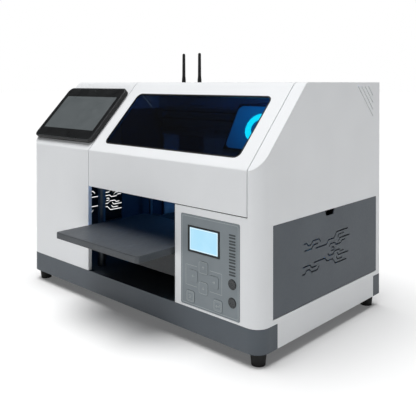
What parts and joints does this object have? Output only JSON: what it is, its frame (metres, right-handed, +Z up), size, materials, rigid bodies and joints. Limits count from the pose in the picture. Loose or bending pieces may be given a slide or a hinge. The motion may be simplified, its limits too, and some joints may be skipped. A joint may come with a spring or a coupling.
{
  "type": "flatbed uv printer",
  "caption": "Desktop flatbed printer: white casing with sloped front, hinged tinted hood, sliding bed on a lift, print carriage, key panel, side tablet and drop-down side doors.",
  "frame": {"origin": "centre of the machine's footprint, on the floor", "axes": "+X to the machine's right, +Y to its back, +Z up"},
  "size_m": [0.812, 0.6014, 0.647],
  "materials": {
    "white_shell": "satin powder coat",
    "grey_trim": "satin powder coat",
    "rubber": "moulded",
    "rear_sheet": "satin powder coat",
    "inner_sheet": "satin",
    "window": "tinted acrylic",
    "steel": "ground",
    "black_plastic": "fine texture",
    "panel_film": "screen-printed film",
    "lcd": "lit display",
    "button": "moulded",
    "screen": "display glass",
    "brass": "nickel-free turned",
    "bed": "dark anodised",
    "dark_metal": "black paint",
    "aluminium": "anodised",
    "carriage": "moulded",
    "ring": "lit diffuser",
    "bottle": "blown polyethylene",
    "board": "solder mask",
    "belt": "toothed belt"
  },
  "bodies": {
    "casing": {"base_tray": "grey_trim", "rubber_feet": "rubber", "left_cover": "white_shell", "right_cover": "white_shell", "top_cover": "white_shell", "rear_panel": "rear_sheet", "partition": "inner_sheet", "hinge_body_leaf": "steel", "hinge_pin": "steel", "finger_cups": "black_plastic", "control_panel": "panel_film", "lcd_display": "lcd", "tablet_housing": "black_plastic", "tablet_screen": "screen", "antenna_connectors": "brass", "guide_posts": "steel", "stepper_motors": "dark_metal", "gantry_frame": "aluminium", "carriage_rail": "steel", "carriage_belt": "belt", "capping_station": "black_plastic", "ink_bottles": "bottle", "power_supply": "steel", "main_board": "board", "fan_frame": "black_plastic", "power_inlet": "black_plastic"},
    "hood": {"hood_shell": "white_shell", "hood_window": "window", "hinge_hood_leaf": "steel"},
    "right_door": {"right_door": "grey_trim"},
    "left_door": {"left_door": "grey_trim"},
    "lift": {"lift_tray": "dark_metal", "bed_rails": "steel", "bed_motor": "dark_metal"},
    "bed": {"bed_plate": "bed", "bed_blocks": "steel"},
    "bed_screw": {"bed_screw": "steel"},
    "lift_screw_left": {"lift_screw_left": "steel"},
    "lift_screw_right": {"lift_screw_right": "steel"},
    "carriage": {"carriage_plate": "aluminium", "carriage_cover": "carriage", "ring_light": "ring", "print_heads": "dark_metal", "uv_lamp": "aluminium"},
    "drive_pulley": {"drive_pulley": "aluminium"},
    "idler_pulley": {"idler_pulley": "aluminium"},
    "fan_rotor": {"fan_rotor": "black_plastic"},
    "power_switch": {"power_switch": "black_plastic"},
    "antenna_left_base": {"antenna_left_swivel": "black_plastic"},
    "antenna_left": {"antenna_left_rod": "black_plastic"},
    "antenna_right_base": {"antenna_right_swivel": "black_plastic"},
    "antenna_right": {"antenna_right_rod": "black_plastic"},
    "key_up": {"key_up": "panel_film"},
    "key_down": {"key_down": "panel_film"},
    "key_left": {"key_left": "panel_film"},
    "key_right": {"key_right": "panel_film"},
    "key_menu": {"key_menu": "panel_film"},
    "key_enter": {"key_enter": "panel_film"},
    "button_start": {"button_start": "button"},
    "button_stop": {"button_stop": "button"}
  },
  "joints": [
    {"name": "hood_hinge", "type": "hinge", "parent": "casing", "child": "hood", "pos_m": [0.119, 0.03425, 0.548], "axis": [-1, 0, 0], "range_deg": [0, 75]},
    {"name": "right_door_hinge", "type": "hinge", "parent": "casing", "child": "right_door", "pos_m": [0.4035, 0.03925, 0.0908], "axis": [0, 1, 0], "range_deg": [0, 95]},
    {"name": "left_door_hinge", "type": "hinge", "parent": "casing", "child": "left_door", "pos_m": [-0.4035, 0.03925, 0.0908], "axis": [0, -1, 0], "range_deg": [0, 95]},
    {"name": "lift_slide", "type": "slide", "parent": "casing", "child": "lift", "axis": [0, 0, 1], "range_m": [-0.02, 0.092]},
    {"name": "bed_slide", "type": "slide", "parent": "lift", "child": "bed", "axis": [0, 1, 0], "range_m": [-0.06, 0.28]},
    {"name": "bed_screw_spin", "type": "hinge", "parent": "lift", "child": "bed_screw", "pos_m": [0.0185, 0.03925, 0.1585], "axis": [0, 1, 0], "range_deg": [-1081, 5042]},
    {"name": "lift_screw_left_spin", "type": "hinge", "parent": "casing", "child": "lift_screw_left", "pos_m": [-0.164, 0.02925, 0.17], "axis": [0, 0, 1], "range_deg": [-721, 3313]},
    {"name": "lift_screw_right_spin", "type": "hinge", "parent": "casing", "child": "lift_screw_right", "pos_m": [0.201, 0.02925, 0.17], "axis": [0, 0, 1], "range_deg": [-721, 3313]},
    {"name": "carriage_slide", "type": "slide", "parent": "casing", "child": "carriage", "axis": [-1, 0, 0], "range_m": [0, 0.38]},
    {"name": "drive_pulley_spin", "type": "hinge", "parent": "casing", "child": "drive_pulley", "pos_m": [-0.17, 0.07325, 0.46], "axis": [0, 1, 0], "range_deg": [-1, 2179]},
    {"name": "idler_pulley_spin", "type": "hinge", "parent": "casing", "child": "idler_pulley", "pos_m": [0.372, 0.07325, 0.46], "axis": [0, 1, 0], "range_deg": [-1, 2179]},
    {"name": "fan_spin", "type": "hinge", "parent": "casing", "child": "fan_rotor", "pos_m": [-0.3, 0.26725, 0.24], "axis": [0, 1, 0], "continuous": true},
    {"name": "power_rocker", "type": "hinge", "parent": "casing", "child": "power_switch", "pos_m": [-0.3, 0.27625, 0.112], "axis": [1, 0, 0], "range_deg": [0, 18]},
    {"name": "antenna_left_swivel", "type": "hinge", "parent": "casing", "child": "antenna_left_base", "pos_m": [-0.299, 0.28425, 0.531], "axis": [0, -1, 0], "range_deg": [-10, 90]},
    {"name": "antenna_left_tilt", "type": "hinge", "parent": "antenna_left_base", "child": "antenna_left", "pos_m": [-0.299, 0.29425, 0.531], "axis": [-1, 0, 0], "range_deg": [0, 90]},
    {"name": "antenna_right_swivel", "type": "hinge", "parent": "casing", "child": "antenna_right_base", "pos_m": [-0.227, 0.28425, 0.531], "axis": [0, 1, 0], "range_deg": [-10, 90]},
    {"name": "antenna_right_tilt", "type": "hinge", "parent": "antenna_right_base", "child": "antenna_right", "pos_m": [-0.227, 0.29425, 0.531], "axis": [-1, 0, 0], "range_deg": [0, 90]},
    {"name": "key_up_press", "type": "slide", "parent": "casing", "child": "key_up", "axis": [0, 1, 0], "range_m": [0, 0.0007], "stiffness_N_per_m": 800, "springref_m": -0.001},
    {"name": "key_down_press", "type": "slide", "parent": "casing", "child": "key_down", "axis": [0, 1, 0], "range_m": [0, 0.0007], "stiffness_N_per_m": 800, "springref_m": -0.001},
    {"name": "key_left_press", "type": "slide", "parent": "casing", "child": "key_left", "axis": [0, 1, 0], "range_m": [0, 0.0007], "stiffness_N_per_m": 800, "springref_m": -0.001},
    {"name": "key_right_press", "type": "slide", "parent": "casing", "child": "key_right", "axis": [0, 1, 0], "range_m": [0, 0.0007], "stiffness_N_per_m": 800, "springref_m": -0.001},
    {"name": "key_menu_press", "type": "slide", "parent": "casing", "child": "key_menu", "axis": [0, 1, 0], "range_m": [0, 0.0007], "stiffness_N_per_m": 800, "springref_m": -0.001},
    {"name": "key_enter_press", "type": "slide", "parent": "casing", "child": "key_enter", "axis": [0, 1, 0], "range_m": [0, 0.0007], "stiffness_N_per_m": 800, "springref_m": -0.001},
    {"name": "button_start_press", "type": "slide", "parent": "casing", "child": "button_start", "axis": [0, 1, 0], "range_m": [0, 0.0018], "stiffness_N_per_m": 400, "springref_m": -0.002},
    {"name": "button_stop_press", "type": "slide", "parent": "casing", "child": "button_stop", "axis": [0, 1, 0], "range_m": [0, 0.0018], "stiffness_N_per_m": 400, "springref_m": -0.002}
  ],
  "couplings": [
    {"joint": "bed_screw_spin", "follows": "bed_slide", "rad_per_m": 314.16},
    {"joint": "lift_screw_left_spin", "follows": "lift_slide", "rad_per_m": 628.32},
    {"joint": "lift_screw_right_spin", "follows": "lift_slide", "rad_per_m": 628.32},
    {"joint": "drive_pulley_spin", "follows": "carriage_slide", "rad_per_m": 100},
    {"joint": "idler_pulley_spin", "follows": "carriage_slide", "rad_per_m": 100}
  ]
}
